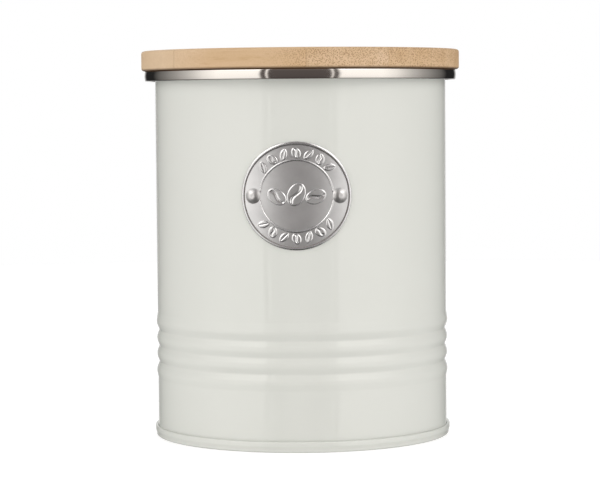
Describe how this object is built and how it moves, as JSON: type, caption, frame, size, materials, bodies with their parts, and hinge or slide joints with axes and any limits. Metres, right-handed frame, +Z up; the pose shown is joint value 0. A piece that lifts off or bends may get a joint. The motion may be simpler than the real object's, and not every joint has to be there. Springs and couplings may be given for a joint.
{
  "type": "coffee tin",
  "caption": "Round painted steel storage tin with rolled beads and a riveted stamped badge, closed by a push-in bamboo lid with a polished steel trim ring and silicone seal.",
  "frame": {"origin": "centre of the base, on the plane the tin stands on", "axes": "+Z up along the tin's axis; -Y is the front, where the badge faces"},
  "size_m": [0.12, 0.12, 0.145],
  "materials": {
    "cream_paint": "gloss",
    "badge_metal": "satin",
    "rivet_steel": "polished",
    "polished_steel": "polished",
    "bamboo": "satin oiled",
    "silicone": "matte",
    "screw_steel": "plain"
  },
  "bodies": {
    "tin": {"body_shell": "cream_paint", "bottom_end": "cream_paint", "badge_plate": "badge_metal", "badge_rivet_left": "rivet_steel", "badge_rivet_right": "rivet_steel"},
    "lid": {"board_strip_1": "bamboo", "board_strip_2": "bamboo", "board_strip_3": "bamboo", "board_strip_4": "bamboo", "board_strip_5": "bamboo", "board_strip_6": "bamboo", "board_strip_7": "bamboo", "plug_strip_1": "bamboo", "plug_strip_2": "bamboo", "plug_strip_3": "bamboo", "plug_strip_4": "bamboo", "plug_strip_5": "bamboo", "trim_ring": "polished_steel", "seal_ring": "silicone", "lid_screw_1": "screw_steel", "lid_screw_2": "screw_steel", "lid_screw_3": "screw_steel", "lid_screw_4": "screw_steel"}
  },
  "joints": [
    {"name": "lid_lift", "type": "slide", "parent": "tin", "child": "lid", "axis": [0, 0, 1], "range_m": [0, 0.08]}
  ]
}
